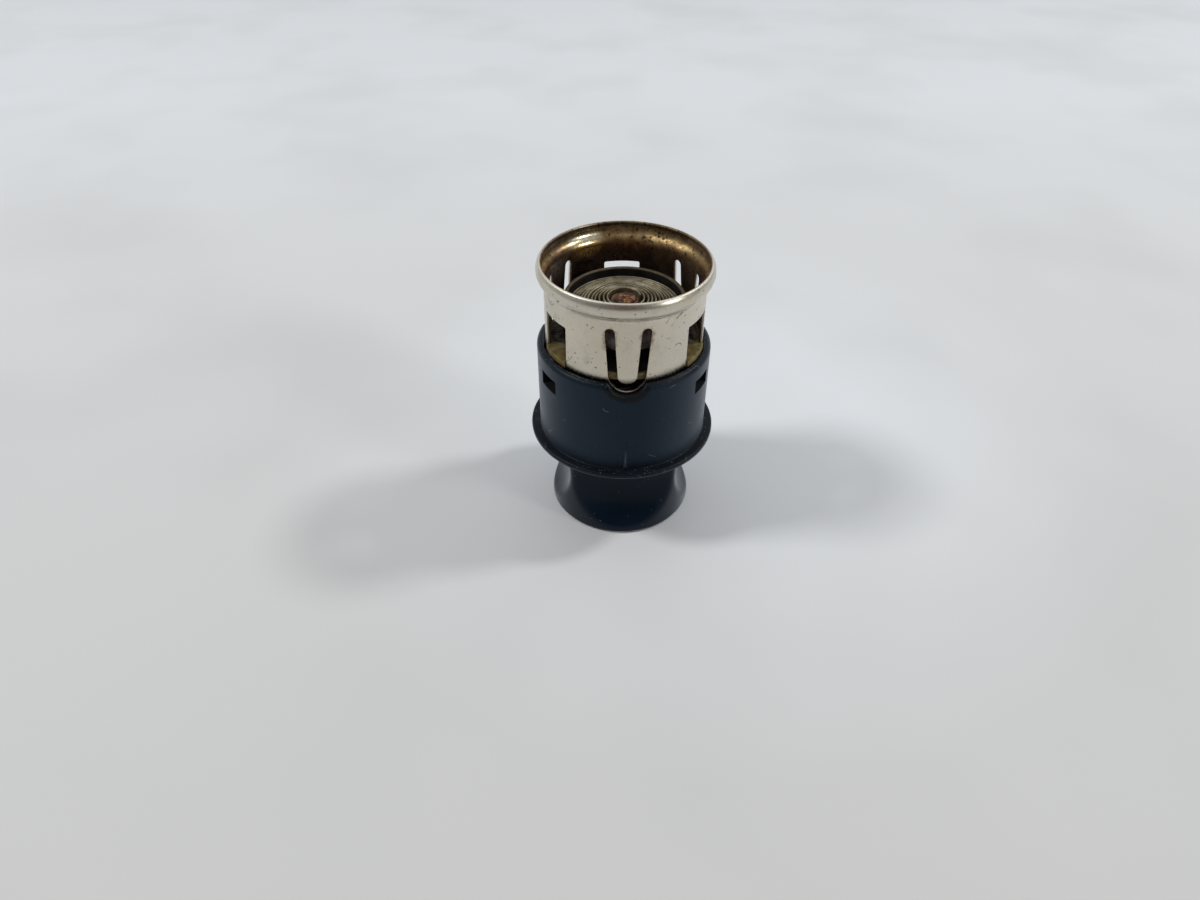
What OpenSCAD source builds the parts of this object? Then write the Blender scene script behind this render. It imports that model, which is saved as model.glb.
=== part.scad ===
// Car cigarette lighter, unplugged and standing on the face of its knob, heating element up.
// Origin: centre of the knob's face. +Z: along the axis, towards the element.
// Azimuth 0 faces -Y, and the pattern of tongues and windows repeats three times round the axis.

/* [Knob] */
// Diameter of the round knob
knob_d = 18; // [17:0.1:18.2]
// Height of the solid disc below the finger scallops
knob_head_h = 1.1; // [0.8:0.1:2]
// Radius on the edge of the knob's face
knob_edge_r = 0.4; // [0.2:0.1:0.7]
// Number of finger scallops
scallop_count = 4; // [3:1:4]
// Depth of a scallop below the round surface
scallop_depth = 2.35; // [1.5:0.05:2.4]
// Radius of the round cut that makes a scallop
scallop_r = 9; // [8:0.5:10]
// Height of the plain land above the scallops
knob_land = 0.2; // [0.2:0.1:0.8]
// Diameter of the spigot above the land
spigot_d = 15.2; // [13.4:0.1:15.6]
// Height of the spigot above the land
spigot_h = 3.4; // [2:0.1:3.6]
// Diameter of the spring pocket in the spigot
pocket_d = 10.8; // [10.4:0.1:11.2]
// Depth of the spring pocket below the land
pocket_depth = 5; // [4:0.1:5.6]
// How much of the knob stands out of the sleeve at rest
knob_show = 11.4; // [11:0.1:12]
// Travel of the knob from rest to fully pressed
press_travel = 6; // [5:0.1:6.5]

/* [Sleeve] */
// Outside diameter of the sleeve, the size that fits the socket
sleeve_d = 20.6; // [20.4:0.1:20.8]
// Height of the sleeve from the flange's face to its top edge
sleeve_h = 12.55; // [12.3:0.05:12.8]
// Radius on the sleeve's top edge
sleeve_top_r = 0.65; // [0.2:0.05:0.65]
// Diameter of the flange
flange_d = 22.8; // [22:0.1:24]
// Thickness of the flange
flange_t = 0.7; // [0.5:0.1:1.2]
// Fillet between the flange and the sleeve
flange_fillet = 0.3; // [0.3:0.1:0.6]
// Radius on the flange's edge
flange_edge_r = 0.25; // [0.1:0.05:0.25]
// Height of the snug seat that holds the barrel's foot
seat_h = 2.7; // [2.3:0.1:2.8]
// Gap round the barrel at the sleeve's mouth
mouth_gap = 0.33; // [0.2:0.01:0.36]
// Width of the sleeve's snap windows
snap_w = 3.1; // [2.9:0.1:3.6]
// Length of the gusset ribs above the flange
rib_h = 4.2; // [3:0.1:6]
// Thickness of a gusset rib
rib_t = 0.5; // [0.3:0.1:0.8]
// How far a gusset rib stands out at its foot
rib_out = 0.2; // [0.15:0.05:0.2]
// How far a gusset rib stands out at its top
rib_top_out = 0.15; // [0.05:0.05:0.15]

/* [Barrel] */
// Outside diameter of the barrel
barrel_d = 18.54; // [18.5:0.02:18.7]
// Thickness of the barrel's sheet
sheet_t = 0.4; // [0.3:0.05:0.5]
// Height of the barrel from its foot to its lip
barrel_h = 14.5; // [14.3:0.1:15.4]
// Largest diameter of the rolled mouth
rim_d = 20.18; // [19.8:0.02:20.6]
// Outer radius of the mouth's bulge
bead_r = 1.43; // [1.3:0.01:1.5]
// Angle at which the lip ends, above the bulge's middle
lip_angle = 38; // [30:1:60]
// Radius of the hollow curve between the wall and the mouth
neck_fillet = 1; // [0.8:0.1:1.2]
// Width of the windows
window_w = 4.3; // [3.6:0.1:4.8]
// Height of the windows above the guide plate's seat
window_h = 5.2; // [4.8:0.1:5.6]
// Corner radius of the windows
window_corner_r = 0.2; // [0.1:0.1:0.8]
// Number of windows, of tongues and of snap lugs
three = 3; // [3:1:3]

/* [Tongues] */
// Width of the U cut round a tongue
slot_w = 1.08; // [0.9:0.02:1.2]
// Half distance between the cut's legs at their top
leg_top_x = 2; // [1.8:0.05:2.2]
// Radius of the cut's round end, at the middle of the cut
slot_tip_r = 1.6; // [1.4:0.05:1.7]
// Height of the legs' upper ends above the barrel's foot
leg_top_h = 10.6; // [10:0.1:10.6]
// Height of the round end's centre above the barrel's foot
leg_low_h = 5.15; // [5.1:0.05:5.5]
// How far a tongue is bent out at its bend line
tongue_bow = 0.2; // [0.2:0.05:0.5]
// Height of the bend line above the round end's centre
bend_rise = 0.1; // [0:0.1:0.6]
// How far a tongue leans inside the wall at the middle of the cut
tip_in = 0.15; // [0:0.05:0.15]
// Margin between the cut and the sleeve's notch
notch_margin = 0.15; // [0.1:0.05:0.4]

/* [Snap lugs] */
// Width of a lug
lug_w = 2.5; // [2:0.1:2.7]
// Height of a lug from its root to its tip
lug_h = 1.5; // [1.2:0.05:1.5]
// How far the lug's tip leans out
lug_out = 0.7; // [0.5:0.05:0.9]
// Height of the lug's root above the barrel's foot
lug_root_h = 0.7; // [0.6:0.05:0.75]
// Cut round a lug
lug_cut = 0.25; // [0.15:0.05:0.3]

/* [Guide plate and bush] */
// Height of the plate's underside above the barrel's foot
plate_rise = 4.4; // [4.2:0.05:4.6]
// Thickness of the plate
plate_t = 0.8; // [0.6:0.05:0.9]
// How far a tab reaches past the barrel's surface
tab_out = 0.18; // [0.05:0.01:0.2]
// Height of the turned-down skirt below the plate
skirt_h = 1.6; // [0.8:0.1:1.6]
// Width of the gaps in the skirt beyond each side of a tab or a tongue
skirt_gap = 1; // [0.6:0.1:1.4]
// Wall of the bush
bush_wall = 0.8; // [0.5:0.05:1]
// Width of the bush's flange beyond its wall
bush_flange_w = 1.1; // [0.8:0.1:1.2]
// Thickness of the bush's flange
bush_flange_t = 0.3; // [0.2:0.05:0.4]
// Width of the bush's riveted lower edge beyond its wall
bush_roll_w = 0.35; // [0.2:0.05:0.4]
// Height of the bush's riveted lower edge
bush_roll_h = 0.5; // [0.4:0.1:0.6]

/* [Return spring] */
// Wire diameter
wire_d = 0.8; // [0.6:0.05:0.85]
// Mean diameter of the spring
spring_d = 8.8; // [8.6:0.1:9]
// Working turns
spring_turns = 5; // [4:1:6]
// Thickness of the seat washer
seat_t = 0.4; // [0.3:0.05:0.6]

/* [Stud and insert] */
// Diameter of the stud's shaft
stud_d = 3.8; // [3.4:0.1:4]
// Diameter of the stud's thread
thread_d = 2.5; // [2.2:0.1:2.6]
// Length of the stud's thread in the insert
thread_h = 4.2; // [3.5:0.1:4.8]
// Diameter of the stud's upper tenon
tenon_d = 2.8; // [2.6:0.1:3]
// Diameter of the insert
insert_d = 5; // [4.6:0.1:5.4]
// Height of the insert
insert_h = 5.2; // [5:0.1:5.6]
// Depth of the insert's anchoring groove
insert_groove = 0.3; // [0.2:0.05:0.5]
// Diameter of the lock washer
lock_d = 5; // [4.6:0.1:5.2]
// Thickness of the lock washer
lock_t = 0.5; // [0.4:0.05:0.6]

/* [Element] */
// Diameter of the stop washer
stop_d = 8.4; // [8:0.1:9]
// Thickness of the stop washer
stop_t = 0.4; // [0.3:0.05:0.6]
// Diameter of the ceramic spacer
ceramic_d = 9.2; // [8.8:0.1:10]
// Thickness of the ceramic spacer's disc
ceramic_t = 0.45; // [0.35:0.05:0.8]
// Diameter of the spacer's collar in the floor of the cup
ceramic_collar_d = 4.4; // [4:0.1:4.8]
// Diameter of the lower insulating washer
lower_mica_d = 11; // [10:0.1:11.4]
// Thickness of the lower insulating washer
lower_mica_t = 0.15; // [0.1:0.05:0.3]
// Inside diameter of the cup
cup_id = 13.2; // [12.8:0.1:13.4]
// Sheet of the cup
cup_t = 0.35; // [0.25:0.05:0.4]
// Height of the cup
cup_h = 3.4; // [3.2:0.05:3.6]
// Outer radius of the cup's bottom corner
cup_corner_r = 0.9; // [0.6:0.1:1]
// Thickness of the cup's rolled rim
cup_rim_t = 0.5; // [0.4:0.05:0.6]
// Thickness of the upper insulating washer
upper_mica_t = 0.4; // [0.3:0.05:0.5]
// Turns of the heating ribbon
coil_turns = 11; // [9:1:12]
// Thickness of the ribbon
ribbon_t = 0.2; // [0.15:0.01:0.22]
// Height of the ribbon
ribbon_h = 1.6; // [1.3:0.05:1.8]
// How far the coil is raised at its middle
coil_crown = 1.1; // [0.6:0.05:1.2]
// Diameter of the hub that the ribbon starts from
hub_d = 3.34; // [3.1:0.02:3.6]
// Depth of the hub's face below the ribbon's edge
hub_sink = 0.5; // [0.3:0.05:0.7]
// Diameter of the rivet's head
rivet_head_d = 2.52; // [2.2:0.02:2.8]
// Height of the rivet's head
rivet_head_h = 0.3; // [0.25:0.05:0.5]
// Diameter of the rivet's shank
rivet_d = 1.4; // [1.2:0.05:1.6]
// How deep the rivet reaches into the stud
rivet_grip = 2.2; // [1.5:0.1:3]

/* [Clearances] */
// Radial gap between the knob and the sleeve
knob_gap = 0.08; // [0.05:0.01:0.1]
// Radial gap between parts that are pushed together
push_gap = 0.02; // [0.01:0.01:0.03]
// Radial gap between the stud and its bush
slide_gap = 0.05; // [0.03:0.01:0.08]
// Gap left between the knob's land and the barrel's foot when pressed
foot_gap = 0.15; // [0.1:0.05:0.3]
// Gap at a snap lug's root and tip in the sleeve's window
snap_gap = 0.15; // [0.1:0.05:0.2]
// Side gap of a tab in its window
tab_gap = 0.05; // [0.02:0.01:0.1]
// Radial gap round the spring's seat washer
seat_gap = 0.15; // [0.1:0.05:0.2]

/* [Hidden] */
$fn = 96;
step = 360 / three;
cut_over = 1;

// Radii that follow from the diameters above
knob_r = knob_d / 2;
barrel_ro = barrel_d / 2;
barrel_ri = barrel_ro - sheet_t;
sleeve_r = sleeve_d / 2;
flange_r = flange_d / 2;
knob_bore_r = knob_r + knob_gap;
seat_r = barrel_ro + push_gap;
mouth_r = barrel_ro + mouth_gap;
stud_r = stud_d / 2;
bush_ri = stud_r + slide_gap;
bush_ro = bush_ri + bush_wall;
cup_ri = cup_id / 2;
cup_ro = cup_ri + cup_t;
spring_r = spring_d / 2;
wire_r = wire_d / 2;
cut_reach = sleeve_r + cut_over;

// Heights at rest, from the knob's face upwards
scallop_half = sqrt(pow(scallop_r, 2) - pow(scallop_r - scallop_depth, 2));
scallop_z = knob_head_h + scallop_half;
land_z = scallop_z + scallop_half + knob_land;
pocket_z = land_z - pocket_depth;
spigot_z = land_z + spigot_h;
flange_z = knob_show;
sleeve_top_z = flange_z + sleeve_h;
foot_z = land_z + press_travel + foot_gap;
lip_z = foot_z + barrel_h;
plate_z = foot_z + plate_rise;
plate_top_z = plate_z + plate_t;
stop_z = plate_top_z + bush_flange_t;
ceramic_z = stop_z + stop_t;
lower_mica_z = ceramic_z + ceramic_t;
cup_z = lower_mica_z + lower_mica_t;
upper_mica_z = cup_z + cup_t;
coil_z = upper_mica_z + upper_mica_t;
hub_top_z = coil_z + coil_crown + ribbon_h - hub_sink;
stud_shoulder_z = pocket_z + lock_t;
spring_low_z = pocket_z + seat_t;

// Mouth of the barrel: centre of the bulge, and of the hollow curve that meets it
bead_x = rim_d / 2 - bead_r;
bead_z = lip_z - sheet_t / 2 - (bead_r - sheet_t / 2) * sin(lip_angle);
neck_x = barrel_ro + neck_fillet;
neck_rise = sqrt(pow(bead_r + neck_fillet, 2) - pow(neck_x - bead_x, 2));
neck_z = bead_z - neck_rise;
neck_angle = atan2(neck_rise, neck_x - bead_x);

// Spiral of the heating ribbon, made of half turns about two centres that climb to the middle
coil_pitch = (cup_ri - hub_d / 2 - ribbon_t) / coil_turns;

// Spring: closed turns at each end, open turns between
end_turns = 1;
spring_high_z = plate_z;
closed_pitch = 1.06 * wire_d;
open_pitch = (spring_high_z - spring_low_z - wire_d - 2 * end_turns * closed_pitch) / spring_turns;
spring_steps = 20;
wire_sides = 8;

// Turns a flat outline, drawn as width and height, into a block that reaches out to azimuth 0
module outwards(reach) {
    rotate([90, 0, 0]) linear_extrude(height = reach) children();
}

// Repeats its child round the axis
module round_three(start) {
    for (i = [0:three - 1]) rotate([0, 0, start + i * step]) children();
}

// Washer with a hole, standing on height z
module washer(z, d, hole_r, t) {
    translate([0, 0, z]) difference() {
        cylinder(d = d, h = t);
        translate([0, 0, -cut_over]) cylinder(r = hole_r, h = t + 2 * cut_over);
    }
}

// Outline of a tongue, grown or shrunk from the middle of the cut round it
module tongue_outline(grow) {
    low = foot_z + leg_low_h;
    top = foot_z + leg_top_h;
    polygon([
        [-leg_top_x - grow, top], [-slot_tip_r - grow, low],
        [slot_tip_r + grow, low], [leg_top_x + grow, top],
    ]);
    translate([0, low]) circle(r = slot_tip_r + grow);
}

// Sector of a flat plane between two angles, seen from a centre
module wedge(from, to, reach) {
    mid = (from + to) / 2;
    polygon([
        [0, 0], reach * [cos(from), sin(from)],
        reach * [cos(mid), sin(mid)], reach * [cos(to), sin(to)],
    ]);
}

// Flat ring of the sheet's thickness between two angles
module sheet_arc(outer, from, to) {
    intersection() {
        difference() {
            circle(r = outer);
            circle(r = outer - sheet_t);
        }
        wedge(from, to, 2 * outer);
    }
}

// Half section of the barrel: wall, hollow curve, bulge and round lip
module barrel_section() {
    translate([barrel_ri, foot_z]) square([sheet_t, neck_z - foot_z]);
    translate([neck_x, neck_z]) sheet_arc(neck_fillet + sheet_t, 180 - neck_angle, 180);
    translate([bead_x, bead_z]) sheet_arc(bead_r, -neck_angle, lip_angle);
    translate([bead_x, bead_z])
        rotate(lip_angle) translate([bead_r - sheet_t / 2, 0]) circle(d = sheet_t);
}

// Half section of the tongues' sheet, bent out to the bend line and in again at the tip
module tongue_section() {
    root = foot_z + leg_top_h;
    bend = foot_z + leg_low_h + bend_rise;
    tip = foot_z + leg_low_h - slot_tip_r;
    polygon([
        [barrel_ri, root + sheet_t], [barrel_ri, root], [barrel_ri + tongue_bow, bend],
        [barrel_ri - tip_in, tip], [barrel_ro - tip_in, tip], [barrel_ro + tongue_bow, bend],
        [barrel_ro, root], [barrel_ro, root + sheet_t],
    ]);
}

module window_outline() {
    x = window_w / 2 - window_corner_r;
    top = plate_z + window_h;
    translate([-window_w / 2, plate_z]) square([window_w, window_h - window_corner_r]);
    translate([-x, plate_z]) square([2 * x, window_h]);
    for (side = [-1, 1]) translate([side * x, top - window_corner_r]) circle(r = window_corner_r);
}

module lug() {
    root = foot_z + lug_root_h;
    translate([lug_w / 2, 0, 0]) rotate([0, -90, 0]) rotate([0, 0, 180]) linear_extrude(height = lug_w)
        polygon([
            [-root, barrel_ri], [-root, barrel_ro],
            [-root - lug_h, barrel_ro + lug_out], [-root - lug_h, barrel_ri + lug_out],
        ]);
}

module barrel_shell() {
    color([0.78, 0.76, 0.7]) {
        difference() {
            rotate_extrude() barrel_section();
            round_three(step / 2) outwards(cut_reach) window_outline();
            round_three(0) outwards(cut_reach) {
                tongue_outline(slot_w / 2);
                for (side = [-1, 1])
                    translate([side * leg_top_x, foot_z + leg_top_h]) circle(d = slot_w);
            }
            round_three(step / 2) outwards(cut_reach)
                translate([-lug_w / 2 - lug_cut, foot_z + lug_root_h])
                    square([lug_w + 2 * lug_cut, lug_h + lug_cut]);
        }
        round_three(step / 2) lug();
        intersection() {
            rotate_extrude() tongue_section();
            round_three(0) outwards(cut_reach) {
                tongue_outline(-slot_w / 2);
                translate([-slot_tip_r + slot_w / 2, foot_z + leg_top_h])
                    square([2 * slot_tip_r - slot_w, sheet_t]);
            }
        }
    }
}

// Half section of the sleeve: flange, fillet, wall with rounded top, and the stepped bore
module sleeve_section() {
    wall = sleeve_r - knob_bore_r;
    difference() {
        union() {
            translate([knob_bore_r, flange_z]) square([wall, sleeve_h - sleeve_top_r]);
            translate([knob_bore_r, flange_z]) square([wall - sleeve_top_r, sleeve_h]);
            translate([sleeve_r - sleeve_top_r, sleeve_top_z - sleeve_top_r])
                circle(r = sleeve_top_r);
            translate([knob_bore_r, flange_z]) square([flange_r - flange_edge_r - knob_bore_r, flange_t]);
            translate([knob_bore_r, flange_z + flange_edge_r])
                square([flange_r - knob_bore_r, flange_t - 2 * flange_edge_r]);
            for (z = [flange_z + flange_edge_r, flange_z + flange_t - flange_edge_r])
                translate([flange_r - flange_edge_r, z]) circle(r = flange_edge_r);
            translate([sleeve_r, flange_z + flange_t]) square(flange_fillet);
        }
        translate([sleeve_r + flange_fillet, flange_z + flange_t + flange_fillet])
            circle(r = flange_fillet);
        translate([0, foot_z]) square([seat_r, sleeve_h]);
        translate([0, foot_z + seat_h]) square([mouth_r, sleeve_h]);
    }
}

module rib() {
    translate([rib_t / 2, 0, 0]) rotate([0, -90, 0]) rotate([0, 0, 180]) linear_extrude(height = rib_t)
        polygon([
            [-flange_z - flange_t, sleeve_r - rib_out], [-flange_z - flange_t, sleeve_r + rib_out],
            [-flange_z - flange_t - rib_h, sleeve_r + rib_top_out],
            [-flange_z - flange_t - rib_h, sleeve_r - rib_out],
        ]);
}

module collar_sleeve() {
    color([0.13, 0.15, 0.17]) {
        difference() {
            rotate_extrude() sleeve_section();
            round_three(0) outwards(cut_reach) tongue_outline(slot_w / 2 + notch_margin);
            round_three(step / 2) outwards(cut_reach)
                translate([-snap_w / 2, foot_z + lug_root_h - snap_gap])
                    square([snap_w, lug_h + 2 * snap_gap]);
        }
        round_three(0) rib();
    }
}

module guide_plate() {
    tab_w = window_w - 2 * tab_gap;
    tab_r = barrel_ro + tab_out;
    rim_r = barrel_ri - push_gap;
    color([0.62, 0.58, 0.32]) difference() {
        union() {
            translate([0, 0, plate_z]) cylinder(r = rim_r, h = plate_t);
            intersection() {
                translate([0, 0, plate_z]) cylinder(r = tab_r, h = plate_t);
                round_three(step / 2) outwards(cut_reach)
                    translate([-tab_w / 2, plate_z]) square([tab_w, plate_t]);
            }
            difference() {
                translate([0, 0, plate_z - skirt_h]) cylinder(r = rim_r, h = skirt_h + plate_t / 2);
                translate([0, 0, plate_z - skirt_h - cut_over])
                    cylinder(r = rim_r - plate_t, h = skirt_h + cut_over);
                for (start = [0, step / 2]) round_three(start) outwards(cut_reach)
                    translate([-tab_w / 2 - skirt_gap, plate_z - skirt_h - cut_over])
                        square([tab_w + 2 * skirt_gap, skirt_h + cut_over]);
            }
        }
        cylinder(r = bush_ro + push_gap, h = lip_z);
    }
}

module guide_bush() {
    color([0.72, 0.58, 0.3]) difference() {
        union() {
            translate([0, 0, plate_z - bush_roll_h]) cylinder(r = bush_ro, h = bush_roll_h + plate_t);
            translate([0, 0, plate_z - bush_roll_h]) cylinder(r = bush_ro + bush_roll_w, h = bush_roll_h);
            translate([0, 0, plate_top_z]) cylinder(r = bush_ro + bush_flange_w, h = bush_flange_t);
        }
        cylinder(r = bush_ri, h = lip_z);
    }
}

// Height of the wire's middle after a number of turns
function wire_z(turn) =
    spring_low_z + wire_r + closed_pitch * min(turn, end_turns)
    + open_pitch * max(0, min(turn - end_turns, spring_turns))
    + closed_pitch * max(0, turn - end_turns - spring_turns);

module return_spring() {
    rings = (spring_turns + 2 * end_turns) * spring_steps;
    points = [
        for (i = [0:rings], k = [0:wire_sides - 1])
            let (a = 360 * i / spring_steps, b = 360 * (k + 0.5) / wire_sides)
                let (r = spring_r + wire_r * cos(b))
                    [r * cos(a), r * sin(a), wire_z(i / spring_steps) + wire_r * sin(b)]
    ];
    sides = [
        for (i = [0:rings - 1], k = [0:wire_sides - 1])
            let (a = i * wire_sides, n = (k + 1) % wire_sides)
                [a + k, a + n, a + wire_sides + n, a + wire_sides + k]
    ];
    low_end = [for (k = [wire_sides - 1:-1:0]) k];
    high_end = [for (k = [0:wire_sides - 1]) rings * wire_sides + k];
    color([0.6, 0.6, 0.62]) polyhedron(points, concat([low_end], sides, [high_end]));
}

module spring_seat() {
    color([0.66, 0.66, 0.68])
        washer(pocket_z, pocket_d - 2 * seat_gap, lock_d / 2 + seat_gap, seat_t);
}

// Brass insert, plain or as the space that the moulding leaves round it
module insert_body() {
    ring_h = insert_h / 3;
    translate([0, 0, pocket_z - insert_h]) {
        cylinder(r = insert_d / 2 - insert_groove, h = insert_h);
        cylinder(d = insert_d, h = ring_h);
        translate([0, 0, 2 * ring_h]) cylinder(d = insert_d, h = ring_h);
    }
}

module knob() {
    color([0.05, 0.05, 0.06]) difference() {
        union() {
            translate([0, 0, knob_edge_r]) cylinder(r = knob_r, h = land_z - knob_edge_r);
            cylinder(r = knob_r - knob_edge_r, h = land_z);
            translate([0, 0, knob_edge_r]) rotate_extrude()
                translate([knob_r - knob_edge_r, 0]) circle(r = knob_edge_r);
            cylinder(d = spigot_d, h = spigot_z);
        }
        for (i = [0:scallop_count - 1]) rotate([0, 0, i * 360 / scallop_count])
            translate([0, scallop_depth - knob_r - scallop_r, scallop_z]) rotate([0, 90, 0])
                cylinder(r = scallop_r, h = 2 * knob_d, center = true);
        translate([0, 0, pocket_z]) cylinder(d = pocket_d, h = spigot_z);
        insert_body();
    }
}

module knob_insert() {
    color([0.78, 0.62, 0.3]) difference() {
        insert_body();
        translate([0, 0, pocket_z - insert_h - cut_over])
            cylinder(r = thread_d / 2 + push_gap, h = insert_h + 2 * cut_over);
    }
}

module lock_washer() {
    color([0.55, 0.56, 0.58]) washer(pocket_z, lock_d, thread_d / 2 + push_gap, lock_t);
}

module stud() {
    color([0.7, 0.7, 0.72]) difference() {
        union() {
            translate([0, 0, pocket_z - thread_h]) cylinder(d = thread_d, h = stop_z - pocket_z);
            translate([0, 0, stud_shoulder_z]) cylinder(r = stud_r, h = stop_z - stud_shoulder_z);
            translate([0, 0, stud_shoulder_z]) cylinder(d = tenon_d, h = ceramic_z - stud_shoulder_z);
        }
        translate([0, 0, ceramic_z - rivet_grip]) cylinder(r = rivet_d / 2 + push_gap, h = lip_z);
    }
}

module stop_washer() {
    color([0.6, 0.6, 0.6]) washer(stop_z, stop_d, tenon_d / 2 + push_gap, stop_t);
}

module ceramic_spacer() {
    color([0.86, 0.84, 0.78]) difference() {
        union() {
            translate([0, 0, ceramic_z]) cylinder(d = ceramic_d, h = ceramic_t);
            translate([0, 0, ceramic_z]) cylinder(d = ceramic_collar_d, h = coil_z - ceramic_z);
        }
        translate([0, 0, ceramic_z - cut_over]) cylinder(r = rivet_d / 2 + push_gap, h = lip_z);
    }
}

module lower_mica() {
    color([0.66, 0.6, 0.46])
        washer(lower_mica_z, lower_mica_d, ceramic_collar_d / 2 + push_gap, lower_mica_t);
}

// Half section of the cup: floor, round corner, wall and rolled rim
module cup_section() {
    rim_r = cup_rim_t / 2;
    inner_r = cup_corner_r - cup_t;
    translate([0, cup_z]) square([cup_ro - cup_corner_r, cup_t]);
    translate([cup_ri, cup_z + cup_corner_r]) square([cup_t, cup_h - cup_corner_r - rim_r]);
    translate([cup_ro - cup_corner_r, cup_z + cup_corner_r]) intersection() {
        difference() {
            circle(r = cup_corner_r);
            circle(r = inner_r);
        }
        translate([0, -cup_corner_r]) square(cup_corner_r);
    }
    translate([cup_ri + rim_r, cup_z + cup_h - rim_r]) circle(r = rim_r);
}

module element_cup() {
    color([0.36, 0.33, 0.3]) difference() {
        rotate_extrude() cup_section();
        cylinder(r = ceramic_collar_d / 2 + push_gap, h = lip_z);
    }
}

module upper_mica() {
    flat_r = cup_ri - (cup_corner_r - cup_t);
    color([0.7, 0.64, 0.5])
        washer(upper_mica_z, 2 * (flat_r - push_gap), ceramic_collar_d / 2 + push_gap, upper_mica_t);
}

module heating_coil() {
    first_r = (hub_d + ribbon_t) / 2 + coil_pitch / 4;
    last = 2 * coil_turns - 1;
    color([0.42, 0.4, 0.34])
        for (k = [0:last]) {
            side = k % 2 == 0 ? -1 : 1;
            rise = coil_crown * (1 - k / last);
            translate([side * coil_pitch / 4, 0, coil_z + rise]) rotate([0, 0, side > 0 ? 180 : 0])
                rotate_extrude(angle = 180)
                    translate([first_r + k * coil_pitch / 2 - ribbon_t / 2, 0])
                        square([ribbon_t, ribbon_h]);
        }
}

module coil_hub() {
    color([0.3, 0.28, 0.26]) washer(coil_z, hub_d, rivet_d / 2 + push_gap, hub_top_z - coil_z);
}

module coil_rivet() {
    color([0.66, 0.38, 0.16]) {
        translate([0, 0, ceramic_z - rivet_grip])
            cylinder(d = rivet_d, h = hub_top_z - ceramic_z + rivet_grip);
        translate([0, 0, hub_top_z]) cylinder(d = rivet_head_d, h = rivet_head_h);
    }
}

collar_sleeve();
barrel_shell();
guide_plate();
guide_bush();
return_spring();
spring_seat();
knob();
knob_insert();
lock_washer();
stud();
stop_washer();
ceramic_spacer();
lower_mica();
element_cup();
upper_mica();
heating_coil();
coil_hub();
coil_rivet();
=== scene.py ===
import math

import bpy
from mathutils import Matrix, Vector


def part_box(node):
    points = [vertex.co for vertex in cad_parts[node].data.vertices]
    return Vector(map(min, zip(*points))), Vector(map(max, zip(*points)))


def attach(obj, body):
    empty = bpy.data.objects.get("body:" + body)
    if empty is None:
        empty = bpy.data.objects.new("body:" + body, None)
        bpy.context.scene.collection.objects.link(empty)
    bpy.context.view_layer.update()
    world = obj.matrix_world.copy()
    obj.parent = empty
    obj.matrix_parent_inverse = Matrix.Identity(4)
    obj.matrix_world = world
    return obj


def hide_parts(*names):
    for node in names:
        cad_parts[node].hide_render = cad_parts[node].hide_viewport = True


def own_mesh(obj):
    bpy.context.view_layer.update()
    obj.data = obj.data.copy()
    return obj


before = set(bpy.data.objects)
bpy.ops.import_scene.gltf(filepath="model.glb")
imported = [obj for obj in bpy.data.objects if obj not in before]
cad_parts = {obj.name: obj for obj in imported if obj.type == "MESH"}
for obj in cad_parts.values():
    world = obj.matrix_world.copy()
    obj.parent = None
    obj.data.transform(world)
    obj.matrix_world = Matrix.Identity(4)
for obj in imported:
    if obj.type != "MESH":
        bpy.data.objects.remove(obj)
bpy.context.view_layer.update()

# Modelling is done in millimetres, and each finished piece is scaled to metres
MM = 0.001


def low(node):
    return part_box(node)[0].z / MM


def high(node):
    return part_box(node)[1].z / MM


def radius(node):
    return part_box(node)[1].x / MM


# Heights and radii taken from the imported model
FOOT = low("barrel_shell")
LIP = high("barrel_shell")
PLATE_TOP = high("guide_plate")
FLANGE = low("collar_sleeve")
MOUTH_OF_SLEEVE = high("collar_sleeve")
CUP_BASE = low("element_cup")
CUP_LIP = high("element_cup")
COIL_BASE = low("heating_coil")
COIL_TOP = high("heating_coil")
HUB_TOP = high("coil_hub")
RIVET_TOP = high("coil_rivet")
SPRING_LOW = low("return_spring")
SPRING_HIGH = high("return_spring")
KNOB_R = radius("knob")
FLANGE_R = radius("collar_sleeve")
RIM_R = radius("barrel_shell")

# Sheet metal of the barrel
BARREL_R = 9.27
SHEET = 0.4
BARREL_IN = BARREL_R - SHEET
SLOT = 1.08
LEG_TOP_X = 2.0
LEG_TOP = FOOT + 10.6
TIP_R = 1.6
TIP_Z = FOOT + 5.15
BOW = 0.2
TIP_IN = 0.15
BEND_Z = TIP_Z + 0.1
WINDOW_W = 4.3
WINDOW_LOW = PLATE_TOP - 0.8
WINDOW_HIGH = WINDOW_LOW + 5.2
WINDOW_CORNER = 0.2
LUG_W = 2.5
LUG_CUT = 0.25
LUG_LOW = FOOT + 0.7
LUG_HIGH = LUG_LOW + 1.5
LUG_OUT = 0.7
THREE = 3
TURN = 2 * math.pi
ROUND_STEPS = 192

# Parts of the element
CUP_INNER = 6.6
CUP_SHEET = 0.35
HUB_R = 1.67

# Sleeve and its ribs
SLEEVE_R = 10.3
FLANGE_T = 0.7
RIB_H = 4.2
RIB_T = 0.5
RIB_FOOT = 0.2
RIB_TOP = 0.01
NOTCH_R = TIP_R + SLOT / 2 + 0.15
SNAP_WINDOW_W = 3.1


# Camera of the photograph: a pinhole camera fitted to the circles of the lighter

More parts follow.
